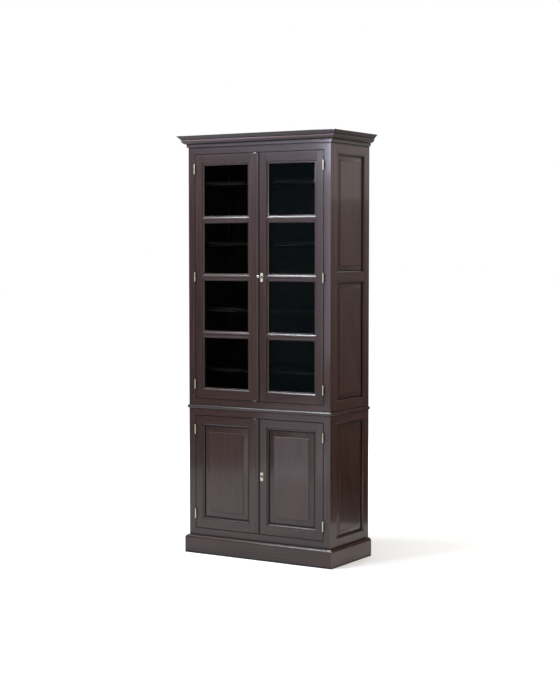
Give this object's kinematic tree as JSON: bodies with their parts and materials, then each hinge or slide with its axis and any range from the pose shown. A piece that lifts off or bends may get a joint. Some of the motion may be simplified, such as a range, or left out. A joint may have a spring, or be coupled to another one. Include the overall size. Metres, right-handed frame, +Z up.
{
  "type": "bookcase with glass doors",
  "caption": "Tall two-part bookcase: glazed doors over raised-panel doors, framed and panelled sides, plinth and mitred cornice, brass butt hinges, locks and a key.",
  "frame": {"origin": "centre of the footprint (the bounding box's bottom centre), on the floor", "axes": "+Z up, doors face -Y, back at +Y, +X to the right of someone facing the doors"},
  "size_m": [0.95, 0.45, 2.2],
  "materials": {
    "dark_wood": "dark walnut-brown stain under satin lacquer",
    "inside_wood": "dark stain, thin satin lacquer",
    "clear_glass": "clear 3 mm float glass",
    "brass": "lightly aged satin brass"
  },
  "bodies": {
    "case": {"case_hinges": "brass", "cornice_ends": "dark_wood", "cornice_front": "dark_wood", "crown_board": "dark_wood", "floors_and_ceiling": "inside_wood", "lower_back": "inside_wood", "lower_face_rails": "dark_wood", "lower_posts": "dark_wood", "lower_shelf": "inside_wood", "lower_side_panels": "dark_wood", "lower_side_rails": "dark_wood", "lower_side_stiles": "dark_wood", "plinth_ends": "dark_wood", "plinth_front": "dark_wood", "shelf_bearers": "inside_wood", "side_panel_mouldings": "dark_wood", "upper_back": "inside_wood", "upper_face_rails": "dark_wood", "upper_posts": "dark_wood", "upper_shelves": "inside_wood", "upper_side_panels": "dark_wood", "upper_side_rails": "dark_wood", "upper_side_stiles": "dark_wood", "waist_board": "dark_wood"},
    "upper_left_door": {"upper_left_bolt_plates": "brass", "upper_left_door_mouldings": "dark_wood", "upper_left_door_rails": "dark_wood", "upper_left_door_stiles": "dark_wood", "upper_left_glass": "clear_glass", "upper_left_glazing_bars": "dark_wood", "upper_left_hinge_leaves": "brass", "upper_left_meeting_bead": "dark_wood"},
    "upper_right_door": {"upper_right_door_mouldings": "dark_wood", "upper_right_door_rails": "dark_wood", "upper_right_door_stiles": "dark_wood", "upper_right_escutcheon": "brass", "upper_right_glass": "clear_glass", "upper_right_glazing_bars": "dark_wood", "upper_right_hinge_leaves": "brass", "upper_right_lock_case": "brass"},
    "lower_left_door": {"lower_left_bolt_plates": "brass", "lower_left_door_moulding": "dark_wood", "lower_left_door_panel": "dark_wood", "lower_left_door_rails": "dark_wood", "lower_left_door_stiles": "dark_wood", "lower_left_hinge_leaves": "brass", "lower_left_meeting_bead": "dark_wood"},
    "lower_right_door": {"lower_right_door_moulding": "dark_wood", "lower_right_door_panel": "dark_wood", "lower_right_door_rails": "dark_wood", "lower_right_door_stiles": "dark_wood", "lower_right_escutcheon": "brass", "lower_right_hinge_leaves": "brass", "lower_right_lock_case": "brass"},
    "upper_left_top_bolt": {"upper_left_top_bolt": "brass"},
    "upper_left_bottom_bolt": {"upper_left_bottom_bolt": "brass"},
    "lower_left_top_bolt": {"lower_left_top_bolt": "brass"},
    "key": {"key": "brass"},
    "upper_lock_bolt": {"upper_right_lock_bolt": "brass"},
    "lower_lock_bolt": {"lower_right_lock_bolt": "brass"}
  },
  "joints": [
    {"name": "upper_left_door_swing", "type": "hinge", "parent": "case", "child": "upper_left_door", "pos_m": [-0.38925, -0.1842, 1.464], "axis": [0, 0, -1], "range_deg": [0, 170]},
    {"name": "upper_right_door_swing", "type": "hinge", "parent": "case", "child": "upper_right_door", "pos_m": [0.38925, -0.1842, 1.464], "axis": [0, 0, 1], "range_deg": [0, 170]},
    {"name": "lower_left_door_swing", "type": "hinge", "parent": "case", "child": "lower_left_door", "pos_m": [-0.38925, -0.1842, 0.435], "axis": [0, 0, -1], "range_deg": [0, 170]},
    {"name": "lower_right_door_swing", "type": "hinge", "parent": "case", "child": "lower_right_door", "pos_m": [0.38925, -0.1842, 0.435], "axis": [0, 0, 1], "range_deg": [0, 170]},
    {"name": "key_turn", "type": "hinge", "parent": "upper_right_door", "child": "key", "pos_m": [0.024, -0.18, 1.469], "axis": [0, 1, 0], "range_deg": [0, 90]},
    {"name": "upper_lock_bolt_slide", "type": "slide", "parent": "upper_right_door", "child": "upper_lock_bolt", "axis": [-1, 0, 0], "range_m": [0, 0.007]},
    {"name": "lower_lock_bolt_slide", "type": "slide", "parent": "lower_right_door", "child": "lower_lock_bolt", "axis": [-1, 0, 0], "range_m": [0, 0.007]},
    {"name": "upper_left_top_bolt_slide", "type": "slide", "parent": "upper_left_door", "child": "upper_left_top_bolt", "axis": [0, 0, 1], "range_m": [0, 0.008]},
    {"name": "upper_left_bottom_bolt_slide", "type": "slide", "parent": "upper_left_door", "child": "upper_left_bottom_bolt", "axis": [0, 0, -1], "range_m": [0, 0.008]},
    {"name": "lower_left_top_bolt_slide", "type": "slide", "parent": "lower_left_door", "child": "lower_left_top_bolt", "axis": [0, 0, 1], "range_m": [0, 0.008]}
  ],
  "couplings": [
    {"joint": "upper_lock_bolt_slide", "follows": "key_turn", "m_per_rad": 0.004456}
  ]
}
